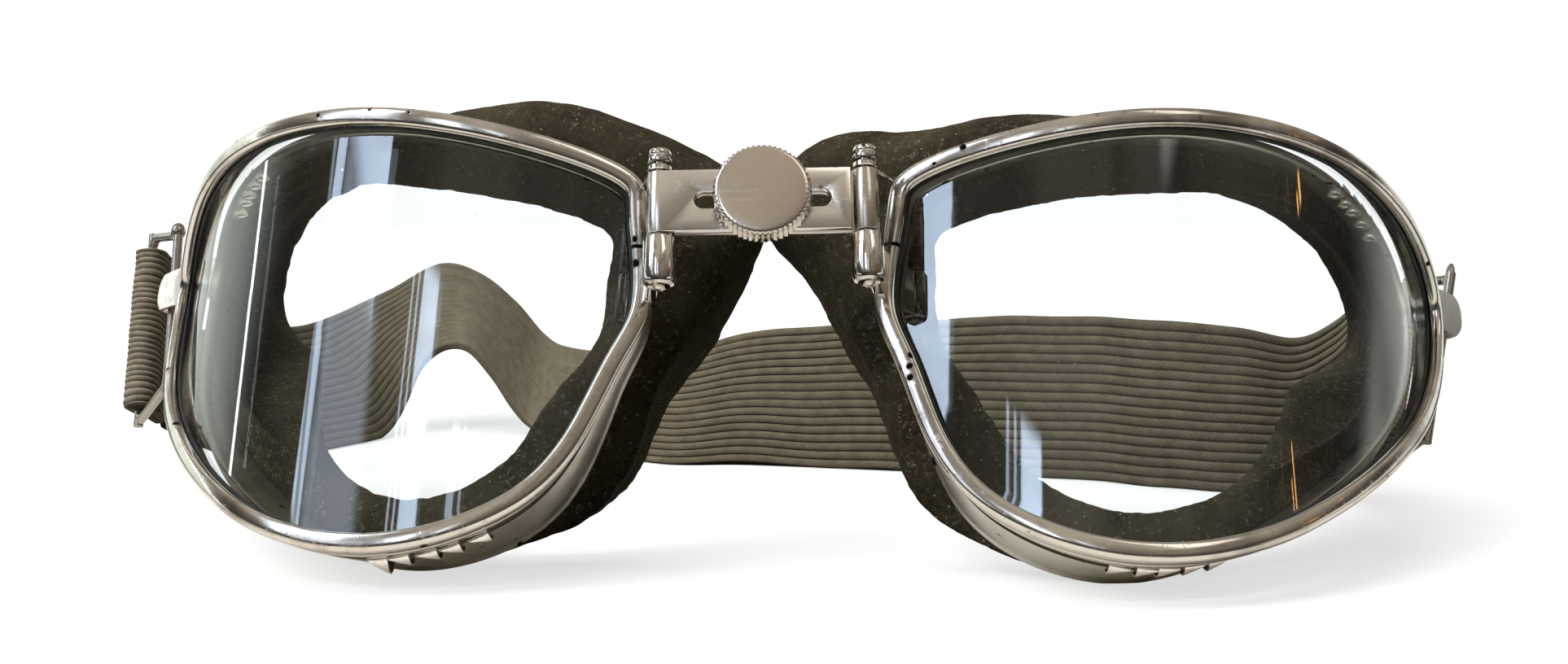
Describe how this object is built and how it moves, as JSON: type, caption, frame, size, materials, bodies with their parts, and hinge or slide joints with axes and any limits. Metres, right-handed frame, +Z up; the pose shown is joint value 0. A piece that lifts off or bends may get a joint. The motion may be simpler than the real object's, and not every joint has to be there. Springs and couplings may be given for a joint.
{
  "type": "pilot goggles",
  "caption": "Flying goggles with two curved-glass metal eyecups hinged on a slotted bridge with a knurled clamp nut, soft face cushions and an elastic head strap.",
  "frame": {"origin": "on the table under the middle of the goggles' box, with the goggles leaning back as they stand", "axes": "+X to the right as seen from the front, +Y from the lenses back to the strap, +Z up from the table"},
  "size_m": [0.2086, 0.1956, 0.0599],
  "materials": {
    "plated_metal": "worn nickel plating, bright with pits and brown tarnish",
    "satin_metal": "satin nickel with stains and scratches",
    "clear_glass": "polished",
    "black_rubber": "dull",
    "brown_hide": "mottled, matt, with pale fibre specks",
    "grey_webbing": "ribbed elastic webbing"
  },
  "bodies": {
    "bridge": {"bridge_plate_left": "satin_metal", "head_strap": "grey_webbing"},
    "bridge_slide": {"bridge_plate_right": "satin_metal"},
    "clamp": {"thumb_screw": "satin_metal", "washer": "satin_metal"},
    "thumb_nut": {"thumb_nut": "satin_metal"},
    "eyecup_left": {"eyecup_body_left": "plated_metal", "face_cushion_left": "brown_hide", "front_rim_left": "plated_metal", "hinge_pin_left": "plated_metal", "lens_left": "clear_glass", "lens_gasket_left": "black_rubber", "strap_hook_left": "plated_metal"},
    "eyecup_right": {"eyecup_body_right": "plated_metal", "face_cushion_right": "brown_hide", "front_rim_right": "plated_metal", "hinge_pin_right": "plated_metal", "lens_right": "clear_glass", "lens_gasket_right": "black_rubber", "strap_hook_right": "plated_metal"},
    "strap_loop_left": {"strap_loop_left": "plated_metal", "strap_end_left": "grey_webbing"},
    "strap_loop_right": {"strap_loop_right": "plated_metal", "strap_end_right": "grey_webbing"}
  },
  "joints": [
    {"name": "left_hinge", "type": "hinge", "parent": "bridge", "child": "eyecup_left", "pos_m": [-0.01112, -0.07634, 0.04577], "axis": [-0.0177, 0.3827, 0.9237], "range_deg": [-22, 26], "deforming": ["head_strap", "face_cushion_left", "strap_end_left"]},
    {"name": "right_hinge", "type": "hinge", "parent": "bridge_slide", "child": "eyecup_right", "pos_m": [0.01427, -0.07634, 0.04626], "axis": [-0.0177, 0.3827, 0.9237], "range_deg": [-22, 18], "deforming": ["head_strap", "face_cushion_right", "strap_end_right"]},
    {"name": "bridge_width", "type": "slide", "parent": "bridge", "child": "bridge_slide", "axis": [0.9998, 0, 0.0192], "range_m": [0, 0.008], "deforming": ["head_strap"]},
    {"name": "clamp_slide", "type": "slide", "parent": "bridge", "child": "clamp", "axis": [0.9998, 0, 0.0192], "range_m": [0, 0.004]},
    {"name": "nut_turn", "type": "hinge", "parent": "clamp", "child": "thumb_nut", "pos_m": [0.00158, -0.07634, 0.04602], "axis": [-0.0073, -0.9239, 0.3826], "range_deg": [0, 540]},
    {"name": "left_loop_swing", "type": "hinge", "parent": "eyecup_left", "child": "strap_loop_left", "pos_m": [-0.09244, -0.01501, 0.03191], "axis": [0.0443, 0.3606, 0.9317], "range_deg": [-25, 30], "deforming": ["head_strap", "strap_end_left"]},
    {"name": "right_loop_swing", "type": "hinge", "parent": "eyecup_right", "child": "strap_loop_right", "pos_m": [0.10181, -0.03347, 0.02943], "axis": [0.2664, 0.4205, 0.8673], "range_deg": [-40, 8], "deforming": ["head_strap", "strap_end_right"]}
  ],
  "couplings": [
    {"joint": "clamp_slide", "follows": "bridge_width", "ratio": 0.5}
  ]
}
